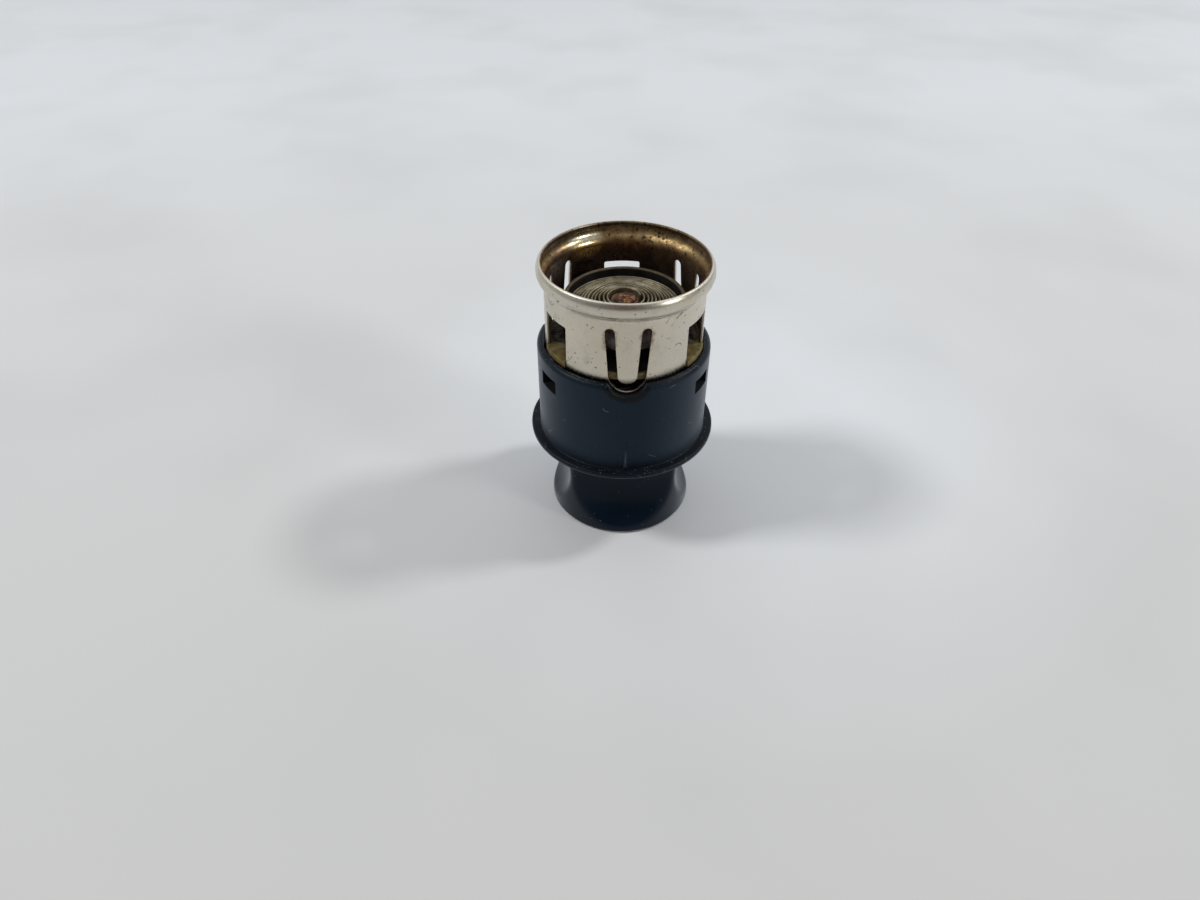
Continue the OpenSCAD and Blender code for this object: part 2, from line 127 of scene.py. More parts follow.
def add_camera():
    pitch, roll, turned = math.radians(40.22), math.radians(0.35), math.radians(-1.3)
    right = Vector((1, 0, 0))
    ahead = Vector((0, math.cos(pitch), -math.sin(pitch)))
    up = right.cross(ahead)
    side = right * math.cos(roll) + up * math.sin(roll)
    over = up * math.cos(roll) - right * math.sin(roll)
    place = Vector((-2.742, -86.225, 79.229)) * MM
    photo_width, focal_length = 1200, 857
    data = bpy.data.cameras.new("photo_camera")
    data.sensor_width = 36
    data.lens = focal_length / photo_width * data.sensor_width
    data.clip_start, data.clip_end = 0.005, 20
    camera = bpy.data.objects.new("photo_camera", data)
    bpy.context.scene.collection.objects.link(camera)
    pose = Matrix.Identity(4)
    for column, axis in enumerate((side, over, -ahead, place)):
        for row in range(3):
            pose[row][column] = axis[row]
    camera.matrix_world = Matrix.Rotation(turned, 4, "Z") @ pose
    bpy.context.scene.camera = camera


# Small tools for modelling

# How close points are merged, how short an edge is dropped, and how close they are merged after a cut
MERGE = 1e-4
FLAT = 1e-5
CUT_MERGE = 0.002


def arc(x, z, r, start, end, steps):
    """Points of a round stretch of an outline, with angles in degrees."""
    angles = [math.radians(start + (end - start) * i / steps) for i in range(steps + 1)]
    return [(x + r * math.cos(a), z + r * math.sin(a)) for a in angles]


def rows(r, start, end, count):
    """Points up or down a straight wall."""
    return [(r, start + (end - start) * i / count) for i in range(count + 1)]


def take(piece):
    """Makes a piece the only one selected, outside edit mode."""
    if bpy.context.mode != "OBJECT":
        bpy.ops.object.mode_set(mode="OBJECT")
    bpy.ops.object.select_all(action="DESELECT")
    piece.select_set(True)
    bpy.context.view_layer.objects.active = piece


def pick(piece, test):
    """Opens a piece for editing with only the points that pass a test selected."""
    take(piece)
    bpy.ops.object.mode_set(mode="EDIT")
    bpy.ops.mesh.select_mode(type="VERT")
    bpy.ops.mesh.select_all(action="DESELECT")
    bpy.ops.object.mode_set(mode="OBJECT")
    for v in piece.data.vertices:
        v.select = test(v.co)
    bpy.ops.object.mode_set(mode="EDIT")


def start_piece(name):
    """A new mesh object with a single point at the origin, in edit mode."""
    bpy.ops.object.select_all(action="DESELECT")
    bpy.ops.mesh.primitive_plane_add(size=1, location=(0, 0, 0))
    piece = bpy.context.object
    piece.name = name
    piece.data.name = name
    bpy.ops.object.mode_set(mode="EDIT")
    bpy.ops.mesh.select_all(action="SELECT")
    bpy.ops.mesh.merge(type="CENTER")
    return piece


def draw_outline(points):
    """Extrudes the single point along an outline of (across, height) points, and closes it."""
    spots = [Vector((x, 0, z)) for x, z in points]
    bpy.ops.transform.translate(value=spots[0])
    for here, there in zip(spots, spots[1:]):
        bpy.ops.mesh.extrude_region_move(TRANSFORM_OT_translate={"value": there - here})
    bpy.ops.mesh.select_all(action="SELECT")
    bpy.ops.mesh.remove_doubles(threshold=MERGE)
    bpy.ops.mesh.select_all(action="DESELECT")
    close_outline()


def close_outline():
    """Joins the two loose ends of the outline with an edge."""
    mesh = bpy.context.object
    bpy.ops.object.mode_set(mode="OBJECT")
    used = [0] * len(mesh.data.vertices)
    for edge in mesh.data.edges:
        for v in edge.vertices:
            used[v] += 1
    for v in mesh.data.vertices:
        v.select = used[v.index] == 1
    bpy.ops.object.mode_set(mode="EDIT")
    bpy.ops.mesh.select_mode(type="VERT")
    if used.count(1) == 2:
        bpy.ops.mesh.edge_face_add()


def tidy_shell(distance=MERGE):
    """Merges doubles, turns every face outwards and leaves edit mode."""
    bpy.ops.mesh.select_all(action="SELECT")
    bpy.ops.mesh.remove_doubles(threshold=distance)
    bpy.ops.mesh.dissolve_degenerate(threshold=FLAT)
    bpy.ops.mesh.normals_make_consistent(inside=False)
    bpy.ops.object.mode_set(mode="OBJECT")


def spun(name, section, steps=ROUND_STEPS):
    """A turned piece: a closed section of (radius, height) points spun round the axis."""
    piece = start_piece(name)
    draw_outline(section)
    bpy.ops.mesh.select_all(action="SELECT")
    bpy.ops.mesh.spin(steps=steps, angle=TURN, center=(0, 0, 0), axis=(0, 0, 1))
    tidy_shell()
    return piece


def prism(name, outline, near, far):
    """A block with the outline (across, height) that reaches out from near to far at azimuth 0."""
    piece = start_piece(name)
    draw_outline(outline)
    bpy.ops.mesh.select_all(action="SELECT")
    bpy.ops.mesh.edge_face_add()
    bpy.ops.transform.translate(value=(0, -near, 0))
    bpy.ops.mesh.extrude_region_move(TRANSFORM_OT_translate={"value": (0, near - far, 0)})
    tidy_shell()
    return piece


def turn_piece(piece, angle):
    take(piece)
    piece.rotation_euler = (0, 0, angle)
    bpy.ops.object.transform_apply(location=False, rotation=True, scale=False)


def copies_round(piece, count, start=0.0):
    """Copies a piece evenly round the axis, each copy with its own mesh."""
    copies = []
    for i in range(count):
        take(piece)
        bpy.ops.object.duplicate(linked=False)
        copies.append(bpy.context.object)
        turn_piece(copies[-1], start + i * TURN / count)
    bpy.data.objects.remove(piece, do_unlink=True)
    return copies


def join(pieces, name):
    bpy.ops.object.select_all(action="DESELECT")
    for piece in pieces:
        piece.select_set(True)
    bpy.context.view_layer.objects.active = pieces[0]
    bpy.ops.object.join()
    joined = bpy.context.object
    joined.name = name
    joined.data.name = name
    return joined


def apply_modifier(piece, kind, name, **settings):
    take(piece)
    modifier = piece.modifiers.new(name, kind)
    for key, value in settings.items():
        setattr(modifier, key, value)
    bpy.ops.object.modifier_apply(modifier=name)


def cut(piece, cutters):
    """Takes the cutters out of a piece, and merges the tiny edges that the cut leaves."""
    tool = join(cutters, piece.name + "_cutter")
    apply_modifier(piece, "BOOLEAN", "cut", operation="DIFFERENCE", solver="EXACT", object=tool)
    bpy.data.objects.remove(tool, do_unlink=True)
    bpy.ops.object.mode_set(mode="EDIT")
    tidy_shell(CUT_MERGE)


def swept(name, spots, **form):
    """A wire or ribbon that follows a line of spots, made a mesh."""
    data = bpy.data.curves.new(name, "CURVE")
    data.dimensions = "3D"
    line = data.splines.new("POLY")
    line.points.add(len(spots) - 1)
    for point, spot in zip(line.points, spots):
        point.co = (*spot, 1)
    for key, value in form.items():
        setattr(data, key, value)
    data.use_fill_caps = True
    piece = bpy.data.objects.new(name, data)
    bpy.context.scene.collection.objects.link(piece)
    take(piece)
    bpy.ops.object.convert(target="MESH")
    return bpy.context.object


def smooth(piece, angle=35):
    take(piece)
    bpy.ops.object.shade_smooth_by_angle(angle=math.radians(angle))


def finish_piece(piece, body, node, materials):
    """Scales a piece to metres, gives it its body and materials, and hides the CAD node that it stands
    for.
    """
    take(piece)
    piece.scale = (MM, MM, MM)
    bpy.ops.object.transform_apply(location=True, rotation=True, scale=True)
    piece.data.materials.clear()
    for material in materials:
        piece.data.materials.append(material)
    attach(piece, body)
    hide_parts(node)


# Materials

# Sockets of a Mix node that mixes colours
MIX_SHARE, MIX_FIRST, MIX_SECOND = 0, 6, 7
MIX_RESULT = 2


class Finish:
    """A node material that is built up layer by layer, with patterns measured in millimetres."""

    def __init__(self, name):
        self.material = bpy.data.materials.new(name)
        self.material.use_nodes = True
        self.tree = self.material.node_tree
        self.tree.nodes.clear()
        output = self.tree.nodes.new("ShaderNodeOutputMaterial")
        self.shader = self.tree.nodes.new("ShaderNodeBsdfPrincipled")
        self.tree.links.new(self.shader.outputs[0], output.inputs["Surface"])
        where = self.tree.nodes.new("ShaderNodeTexCoord")
        scale = self.tree.nodes.new("ShaderNodeMapping")
        scale.inputs["Scale"].default_value = (1 / MM, 1 / MM, 1 / MM)
        self.tree.links.new(where.outputs["Object"], scale.inputs["Vector"])
        self.place = scale.outputs["Vector"]
        self.split = None

    def set(self, **values):
        for key, value in values.items():
            self.shader.inputs[key.replace("_", " ")].default_value = value

    def link(self, source, socket):
        self.tree.links.new(source, self.shader.inputs[socket])

    def feed(self, socket, value):
        """Links a socket to another one, or gives it a plain value."""
        if isinstance(value, bpy.types.NodeSocket):
            self.tree.links.new(value, socket)
        else:
            socket.default_value = value

    def add(self, kind, **inputs):
        node = self.tree.nodes.new(kind)
        for key, value in inputs.items():
            self.feed(node.inputs[key.replace("_", " ")], value)
        return node

    def math(self, operation, a, b=0.0):
        node = self.tree.nodes.new("ShaderNodeMath")
        node.operation = operation
        self.feed(node.inputs[0], a)
        self.feed(node.inputs[1], b)
        return node.outputs[0]

    def times(self, a, b):
        return self.math("MULTIPLY", a, b)

    def plus(self, a, b):
        return self.math("ADD", a, b)

    def minus(self, a, b):
        return self.math("SUBTRACT", a, b)

    def most(self, a, b):
        return self.math("MAXIMUM", a, b)

    def diagonal(self, across, along):
        """Distance that lies so far across and so far along."""
        return self.math("SQRT", self.plus(self.times(across, across), self.times(along, along)))

    def stretched(self, scale=(1, 1, 1), turn=(0, 0, 0), shift=(0, 0, 0)):
        """The places of a pattern that is shifted, turned and stretched."""
        node = self.add(
            "ShaderNodeMapping", Location=shift, Rotation=turn, Scale=scale, Vector=self.place)
        return node.outputs["Vector"]

    def axis(self, name):
        if self.split is None:
            self.split = self.tree.nodes.new("ShaderNodeSeparateXYZ")
            self.tree.links.new(self.place, self.split.inputs[0])
        return self.split.outputs[name]

    def reach(self):
        """Distance from the lighter's axis."""
        return self.diagonal(self.axis("X"), self.axis("Y"))

    def near(self, spot):
        """Distance from a spot in millimetres."""
        node = self.tree.nodes.new("ShaderNodeVectorMath")
        node.operation = "DISTANCE"
        node.inputs[1].default_value = spot
        self.tree.links.new(self.place, node.inputs[0])
        return node.outputs["Value"]

    def from_tongue(self):
        """Angle from the middle of the nearest tongue, up to the middle of a window."""
        azimuth = self.math("ARCTAN2", self.axis("X"), self.times(self.axis("Y"), -1))
        return self.math("PINGPONG", azimuth, math.pi / THREE)

    def noise(self, size, detail=3.0, place=None, distortion=0.0):
        """Soft cloudy pattern from 0 to 1, with blotches of a size in millimetres."""
        node = self.add(
            "ShaderNodeTexNoise", Vector=place or self.place, Scale=1 / size, Detail=detail,
            Roughness=0.55, Distortion=distortion)
        return node.outputs["Fac"]

    def specks(self, size, share, kept=1.0):
        """Mask of irregular specks, 1 in a speck and 0 elsewhere, with one in so many cells kept."""
        cells = self.add("ShaderNodeTexVoronoi", Vector=self.place, Scale=1 / size)
        lumps = self.noise(size * 0.6, detail=2.0)
        near = self.plus(cells.outputs["Distance"], self.times(lumps, 0.3))
        mask = self.ramp(near, [(share + 0.12, 1), (share + 0.18, 0)])
        lot = self.add("ShaderNodeSeparateColor", Color=cells.outputs["Color"])
        return self.times(mask, self.math("LESS_THAN", lot.outputs[0], kept))

    def hairs(self, size, width, share, shift):
        """Mask of short curved scratches: stretches of a soft pattern's contour lines."""
        field = self.noise(size, detail=0.6, place=self.stretched(shift=shift))
        gap = self.math("ABSOLUTE", self.minus(field, 0.5))
        line = self.ramp(gap, [(width, 1), (width * 1.8, 0)])
        apart = self.stretched(shift=tuple(-c for c in shift))
        broken = self.noise(size * 0.7, detail=1.0, place=apart)
        return self.times(line, self.ramp(broken, [(share, 0), (share + 0.03, 1)]))

    def scratches(self, length, width, amount, turn):
        """Mask of fine scratches along one direction."""
        place = self.stretched((1 / width, 1 / length, 1 / length), turn)
        lines = self.add("ShaderNodeTexNoise", Vector=place, Scale=1.0, Detail=1.5, Roughness=0.5)
        return self.ramp(lines.outputs["Fac"], [(amount, 0), (amount + 0.03, 1)])

    def ramp(self, value, stops):
        """Maps a value through stops of (position, level) or (position, colour)."""
        node = self.tree.nodes.new("ShaderNodeValToRGB")
        colours = isinstance(stops[0][1], tuple)
        elements = node.color_ramp.elements
        while len(elements) < len(stops):
            elements.new(0.5)
        for element, (position, level) in zip(elements, stops):
            element.position = position
            element.color = (*level, 1) if colours else (level, level, level, 1)
        self.tree.links.new(value, node.inputs[0])
        return node.outputs[0]

    def between(self, value, start, end, first=0.0, last=1.0):
        """First where value is start, last where it is end, and straight in between."""
        node = self.add(
            "ShaderNodeMapRange", Value=value, From_Min=start, From_Max=end, To_Min=first, To_Max=last)
        return node.outputs["Result"]

    def mix(self, share, first, second):
        node = self.tree.nodes.new("ShaderNodeMix")
        node.data_type = "RGBA"
        self.feed(node.inputs[MIX_SHARE], share)
        for socket, value in ((MIX_FIRST, first), (MIX_SECOND, second)):
            self.feed(node.inputs[socket], (*value, 1) if isinstance(value, tuple) else value)
        return node.outputs[MIX_RESULT]

    def lay(self, tone, colour, mask, amount):
        """Lays a colour over a tone where a mask is, up to an amount."""
        return self.mix(self.times(mask, amount), tone, colour)

    def bump(self, height, depth):
        """Relief of a height pattern, with its depth in millimetres."""
        node = self.add("ShaderNodeBump", Height=height, Distance=depth * MM, Strength=1.0)
        normal = self.shader.inputs["Normal"]
        if normal.is_linked:
            self.tree.links.new(normal.links[0].from_socket, node.inputs["Normal"])
        self.tree.links.new(node.outputs[0], normal)


def nickel_plate():
    """Worn nickel plate: satin, with dark scratches and specks, grime, heat stains by the slots, a dark
    band above the sleeve that is partly dirt and partly painted shade, and a painted brownish
    reflection on the tongues' tips.
    """
    f = Finish("nickel_plate")
    f.set(Metallic=1.0)
    tone = f.mix(f.noise(3.5, detail=4.0), (0.575, 0.527, 0.427), (0.695, 0.647, 0.540))
    cool = f.ramp(f.noise(7.0, detail=2.0, place=f.stretched(shift=(9, 4, 2))), [(0.45, 0), (0.62, 1)])
    tone = f.lay(tone, (0.60, 0.585, 0.545), cool, 0.35)
    grime = f.ramp(f.noise(2.4, detail=6.0, distortion=0.6), [(0.54, 0), (0.70, 1)])
    tone = f.lay(tone, (0.34, 0.30, 0.22), grime, 0.32)

    across = f.times(f.math("SINE", f.from_tongue()), BARREL_R)
    aside = f.minus(across, LEG_TOP_X)
    below = f.times(f.minus(f.axis("Z"), LEG_TOP - 0.9), 0.55)
    wander = f.times(f.noise(0.7, detail=4.0), 1.1)
    stain = f.between(f.plus(f.diagonal(aside, below), wander), 1.5, 1.0)
    tone = f.lay(tone, (0.19, 0.095, 0.035), stain, 0.85)

    # Dark band just above the sleeve's mouth, away from the tongues: partly dirt, partly painted shade
    # of the gap between barrel and sleeve
    rise = f.plus(f.axis("Z"), f.times(f.noise(0.22, detail=4.0), 1.1))
    dirt_and_gap_shade = f.between(rise, MOUTH_OF_SLEEVE + 0.78, MOUTH_OF_SLEEVE + 0.55)
    dirt_and_gap_shade = f.times(dirt_and_gap_shade, f.between(across, TIP_R + 0.2, TIP_R + 0.6))
    tone = f.lay(tone, (0.05, 0.042, 0.034), dirt_and_gap_shade, 0.85)
    # Painted reflection: a brownish tint on the bent lower part of each tongue's tip
    tip = f.between(across, TIP_R + 0.1, TIP_R - 0.1)
    tip = f.times(tip, f.between(f.axis("Z"), TIP_Z - 0.5, TIP_Z - 1.0))
    tone = f.lay(tone, (0.20, 0.13, 0.09), tip, f.noise(0.6))

    specks = f.most(f.specks(0.5, 0.16, kept=0.3), f.specks(1.2, 0.10, kept=0.35))
    hairs = f.most(f.hairs(4.0, 0.0045, 0.61, (3, 8, 5)), f.hairs(2.6, 0.006, 0.64, (14, 2, 9)))
    marks = f.most(f.times(specks, 0.7), f.times(hairs, 0.6))
    tone = f.mix(marks, tone, (0.055, 0.045, 0.035))
    brushed = f.scratches(3.0, 0.05, 0.66, (0.4, 0.5, 0.9))
    tone = f.lay(tone, (0.30, 0.27, 0.22), brushed, 0.16)
    f.link(tone, "Base Color")

    lip = f.between(f.axis("Z"), LIP - 0.14, LIP - 0.04)
    rough = f.plus(0.22, f.times(f.noise(0.5), 0.14))
    rough = f.plus(rough, f.times(f.most(marks, lip), 0.3))
    f.link(f.plus(rough, f.times(grime, 0.14)), "Roughness")
    f.bump(f.noise(1.4, detail=2.0), 0.006)
    f.bump(f.minus(1.0, marks), 0.006)
    return f.material


# Middle of the paler patch inside the mouth, laid where the highlight streaks fall: partly a paler
# tint, partly a painted highlight
PALE_HIGHLIGHT_SPOT = (-4.7, 8.1, LIP - 1.75)


def heated_mouth():
    """The mouth's inside: mottled gold and olive near the lip, purple-brown to black lower down, with a
    paler patch that is partly a painted highlight.
    """
    f = Finish("heated_mouth")
    f.set(Metallic=1.0)
    wander = f.times(f.minus(f.noise(2.2, detail=6.0, distortion=0.8), 0.5), 3.2)
    height = f.plus(f.axis("Z"), wander)
    tint = f.ramp(f.between(height, LIP - 6.5, LIP + 0.4), [
        (0.0, (0.080, 0.062, 0.060)), (0.38, (0.075, 0.048, 0.046)), (0.51, (0.13, 0.066, 0.055)),
        (0.62, (0.30, 0.185, 0.085)), (0.75, (0.55, 0.40, 0.19)), (0.86, (0.62, 0.50, 0.33)),
        (1.0, (0.45, 0.36, 0.27))])
    olive = f.ramp(f.noise(1.3, detail=5.0, place=f.stretched(shift=(5, 7, 1))), [(0.46, 0), (0.58, 1)])
    # Paler metal where the highlight streaks fall: partly a paler tint, partly a painted highlight
    pale_highlight = f.between(f.near(PALE_HIGHLIGHT_SPOT), 2.7, 1.3)
    olive = f.times(olive, f.minus(1.0, pale_highlight))
    tint = f.lay(tint, (0.13, 0.085, 0.042), olive, 0.62)
    pale_tone = f.mix(f.between(f.axis("Z"), LIP - 2.3, LIP - 1.7), (0.66, 0.45, 0.17), (0.82, 0.74, 0.55))
    tint = f.lay(tint, pale_tone, pale_highlight, 0.8)
    drift = f.times(f.noise(0.8, detail=5.0), 1.4)
    smoke = f.between(f.plus(f.axis("Z"), drift), LIP - 0.2, LIP + 0.5)
    tint = f.lay(tint, (0.12, 0.085, 0.068), smoke, 0.72)
    left = f.between(f.plus(f.axis("X"), f.noise(1.5, detail=4.0)), -4.6, -6.4)
    left = f.times(left, f.between(f.axis("Y"), 2.0, 4.0))
    tint = f.lay(tint, (0.11, 0.075, 0.05), left, 0.6)
    dots = f.most(f.specks(0.42, 0.27, kept=0.7), f.specks(0.8, 0.24, kept=0.5))
    dots = f.times(dots, f.minus(1.0, f.times(pale_highlight, 0.6)))
    right = f.between(f.plus(f.axis("X"), f.noise(1.2, detail=4.0)), 2.6, 5.6)
    tint = f.lay(tint, (0.15, 0.10, 0.05), right, 0.42)
    tint = f.lay(tint, (0.040, 0.022, 0.018), dots, 0.8)
    pale = f.specks(1.1, 0.06, kept=0.3)
    tint = f.lay(tint, (0.55, 0.48, 0.38), pale, 0.6)
    f.link(tint, "Base Color")
    lip = f.between(f.axis("Z"), LIP - 0.14, LIP - 0.04)
    dull = f.minus(f.between(f.axis("X"), -1.0, 4.0), f.times(pale_highlight, 0.3))
    rough = f.plus(0.18, f.times(f.noise(0.6), 0.16))
    rough = f.plus(rough, f.times(dull, 0.17))
    rough = f.plus(rough, f.times(f.most(dots, lip), 0.25))
    f.link(f.plus(rough, f.times(f.most(olive, left), 0.1)), "Roughness")
    f.bump(f.noise(0.45, detail=4.0), 0.02)
    return f.material


def cut_edge():
    """Edge of the punched sheet: a bright line outside, burnished metal made brighter as a painted
    highlight of the rolled edge, brown and dull behind it.
    """
    f = Finish("cut_edge")
    f.set(Metallic=0.6)
    brown = f.mix(f.noise(0.8, detail=4.0), (0.035, 0.021, 0.012), (0.12, 0.082, 0.045))
    # Painted highlight: the outermost strip of each cut face gets a near-white metal colour, brighter
    # than the nickel
    ragged = f.plus(f.reach(), f.times(f.noise(0.5), 0.08))
    line = f.between(ragged, BARREL_R - 0.19, BARREL_R - 0.08)
    bright = f.mix(f.noise(1.2, detail=4.0), (0.70, 0.66, 0.58), (0.98, 0.95, 0.88))
    f.link(f.mix(line, brown, bright), "Base Color")
    f.link(f.minus(0.6, f.times(line, 0.25)), "Roughness")
    f.bump(f.noise(0.2, detail=3.0), 0.01)
    return f.material


def black_moulding():
    """Satin blue-black moulding with hair scratches, scuffed ribs partly lightened as a painted
    highlight, and dust on what faces up; painted shade darkens the foot of the wall, what faces up, a
    band round each notch and the inner faces.
    """
    f = Finish("black_moulding")
    f.set(Specular_IOR_Level=0.12)
    f.set(Sheen_Weight=0.42, Sheen_Roughness=0.35, Sheen_Tint=(0.85, 0.93, 1.0, 1))
    base = f.mix(f.noise(5.0), (0.0026, 0.0108, 0.0215), (0.0056, 0.0168, 0.0310))
    # Painted shade: the wall is darkened towards the flange
    foot = f.between(f.plus(f.axis("Z"), f.noise(1.5)), FLANGE + 2.9, FLANGE + 1.2)
    base = f.lay(base, (0.0016, 0.0040, 0.0085), foot, 0.6)
    # Painted shadow: the outer face is darkened in a soft band round each notch, darkest at its edge
    across = f.times(f.math("SINE", f.from_tongue()), SLEEVE_R)
    drop = f.minus(f.axis("Z"), TIP_Z)
    ragged = f.plus(f.diagonal(across, drop), f.times(f.noise(0.4, detail=4.0), 0.5))
    outer = f.between(f.reach(), SLEEVE_R - 0.3, SLEEVE_R - 0.1)
    grime = f.times(outer, f.between(ragged, NOTCH_R + 1.05, NOTCH_R + 0.6))
    base = f.lay(base, (0.0004, 0.0006, 0.0012), grime, 0.95)
    flange_top = FLANGE + FLANGE_T
    # Lighter middle of each rib: scuffing, and partly a painted highlight on its crest
    ribs = f.between(f.reach(), SLEEVE_R + 0.05, SLEEVE_R + 0.12)
    ribs = f.times(ribs, f.between(f.axis("Z"), flange_top + 0.3, flange_top + 0.5))
    ribs = f.times(ribs, f.between(f.axis("Z"), flange_top + RIB_H, flange_top + RIB_H - 1.5))
    middle = f.between(across, 0.16, 0.04)
    scuffed = f.times(f.times(ribs, middle), f.noise(0.9, detail=3.0))
    base = f.mix(scuffed, base, (0.085, 0.10, 0.12))
    surface = f.add("ShaderNodeNewGeometry")
    up = f.add("ShaderNodeSeparateXYZ", Vector=surface.outputs["Normal"]).outputs["Z"]
    # Painted shade: what faces up, the flange and the top, is darkened
    level = f.ramp(up, [(0.25, 0.0), (0.9, 1)])
    base = f.lay(base, (0.0002, 0.0014, 0.0036), level, 0.85)
    hairs = f.most(f.hairs(3.4, 0.004, 0.63, (1, 15, 6)), f.hairs(5.0, 0.003, 0.63, (12, 1, 4)))
    faint = f.scratches(2.5, 0.035, 0.70, (0.2, 0.9, 0.4))
    lines = f.most(f.times(hairs, 0.36), f.times(faint, 0.07))
    base = f.mix(lines, base, (0.20, 0.22, 0.24))
    clumps = f.noise(3.2, detail=2.0, place=f.stretched(shift=(4, 1, 8)))
    clumps = f.ramp(clumps, [(0.42, 0.25), (0.56, 1)])
    dust = f.most(f.specks(0.28, 0.17, kept=0.55), f.specks(0.7, 0.11, kept=0.4))
    dust = f.times(dust, clumps)
    lying = f.most(f.ramp(up, [(0.15, 0.06), (0.8, 1)]), f.specks(2.6, 0.05, kept=0.4))
    dust = f.times(dust, lying)
    base = f.lay(base, (0.27, 0.33, 0.38), dust, 0.62)
    base = f.lay(base, (0.24, 0.28, 0.32), f.times(level, f.noise(1.2, detail=5.0)), 0.008)
    # Painted shade: inner faces below the mouth, in the bore, notches and snap windows, are made nearly
    # black
    inner_shade = f.between(f.reach(), SLEEVE_R - 0.12, SLEEVE_R - 0.3)
    inner_shade = f.times(inner_shade, f.between(f.axis("Z"), MOUTH_OF_SLEEVE - 0.5, MOUTH_OF_SLEEVE - 0.9))
    f.link(f.lay(base, (0.0004, 0.0005, 0.0006), inner_shade, 0.9), "Base Color")
    rough = f.plus(0.34, f.times(f.noise(1.5, detail=4.0), 0.16))
    rough = f.plus(rough, f.times(f.most(dust, inner_shade), 0.35))
    f.link(rough, "Roughness")
    f.bump(f.noise(0.25, detail=2.0), 0.004)
    f.bump(lines, 0.006)
    return f.material


def knob_plastic():
    """Glossy black knob with smears from fingers and a little dust."""
    f = Finish("knob_plastic")
    f.set(Specular_IOR_Level=0.13)
    f.set(Sheen_Weight=1.0, Sheen_Roughness=0.3, Sheen_Tint=(0.9, 0.96, 1.0, 1))
    base = f.mix(f.noise(6.0), (0.0003, 0.0050, 0.0120), (0.0010, 0.0072, 0.0170))
    dust = f.specks(0.6, 0.08, kept=0.3)
    f.link(f.lay(base, (0.3, 0.3, 0.3), dust, 0.4), "Base Color")
    smear = f.ramp(f.noise(4.0, detail=6.0, distortion=1.2), [(0.42, 0), (0.7, 1)])
    rough = f.plus(0.28, f.times(smear, 0.12))
    f.link(f.plus(rough, f.times(dust, 0.3)), "Roughness")
    f.bump(f.noise(2.5, detail=1.0), 0.01)
    return f.material


def yellow_chromate():
    """Dull yellow chromate on the guide plate, darkened as painted shade near the cup and behind the
    tongues.
    """
    f = Finish("yellow_chromate")
    f.set(Metallic=0.6)
    tone = f.ramp(f.noise(1.6, detail=5.0, distortion=0.7), [
        (0.3, (0.085, 0.058, 0.022)), (0.5, (0.19, 0.145, 0.055)), (0.68, (0.29, 0.25, 0.115))])
    patch = f.ramp(f.noise(1.9, detail=3.0, place=f.stretched(shift=(1, 5, 3))), [(0.56, 0), (0.66, 1)])
    tone = f.lay(tone, (0.26, 0.22, 0.030), patch, 0.6)
    stain = f.ramp(f.noise(0.8, detail=4.0), [(0.50, 0), (0.60, 1)])
    tone = f.lay(tone, (0.12, 0.075, 0.03), stain, 0.6)
    # Painted shade: where the cup and the barrel shade the plate, its colour goes near black close to
    # the cup and at the front, mottled grey further out
    beside_tongue, in_window = 0.76, 0.95
    wide, narrow = BARREL_IN - 0.12, 7.5
    clean_from = f.between(f.from_tongue(), beside_tongue, in_window, first=wide, last=narrow)
    depth = f.minus(clean_from, f.reach())
    ragged = f.plus(depth, f.minus(f.noise(1.1, detail=5.0), 0.5))
    plate_shade = f.between(ragged, -0.1, 0.3)
    ash = f.ramp(f.noise(0.8, detail=5.0), [(0.40, (0.04, 0.036, 0.03)), (0.62, (0.30, 0.275, 0.235))])
    ashy = f.times(f.between(f.reach(), 7.0, 7.5), f.between(f.axis("Y"), -5.0, -3.5))
    black = f.mix(ashy, (0.006, 0.005, 0.005), ash)
    f.link(f.lay(tone, black, plate_shade, 0.97), "Base Color")
    rough = f.plus(0.38, f.times(f.noise(0.4), 0.25))
    f.link(f.plus(rough, f.times(plate_shade, 0.4)), "Roughness")
    f.bump(f.noise(0.3, detail=4.0), 0.015)
    return f.material


def heated_steel():
    """Steel of the cup, scaled and blotched by heat, with a paler worn rim."""
    f = Finish("heated_steel")
    f.set(Metallic=0.15, Specular_IOR_Level=0.25)
    tone = f.ramp(f.noise(1.1, detail=6.0, distortion=0.5), [
        (0.36, (0.022, 0.018, 0.018)), (0.46, (0.13, 0.11, 0.105)), (0.62, (0.33, 0.28, 0.26))])
    rust = f.ramp(f.noise(0.7, detail=4.0), [(0.58, 0), (0.68, 1)])
    tone = f.lay(tone, (0.11, 0.055, 0.03), rust, 0.4)
    rim = f.between(f.axis("Z"), CUP_LIP - 0.2, CUP_LIP - 0.08)
    worn = f.mix(f.noise(0.6, detail=5.0), (0.028, 0.019, 0.010), (0.15, 0.115, 0.062))
    inside = f.between(f.reach(), CUP_INNER + 0.25, CUP_INNER + 0.1)
    tone = f.lay(tone, (0.003, 0.0026, 0.003), inside, 0.97)
    f.link(f.mix(rim, tone, worn), "Base Color")
    f.link(f.plus(0.5, f.times(f.noise(0.5), 0.25)), "Roughness")
    f.bump(f.noise(0.35, detail=4.0), 0.015)
    return f.material


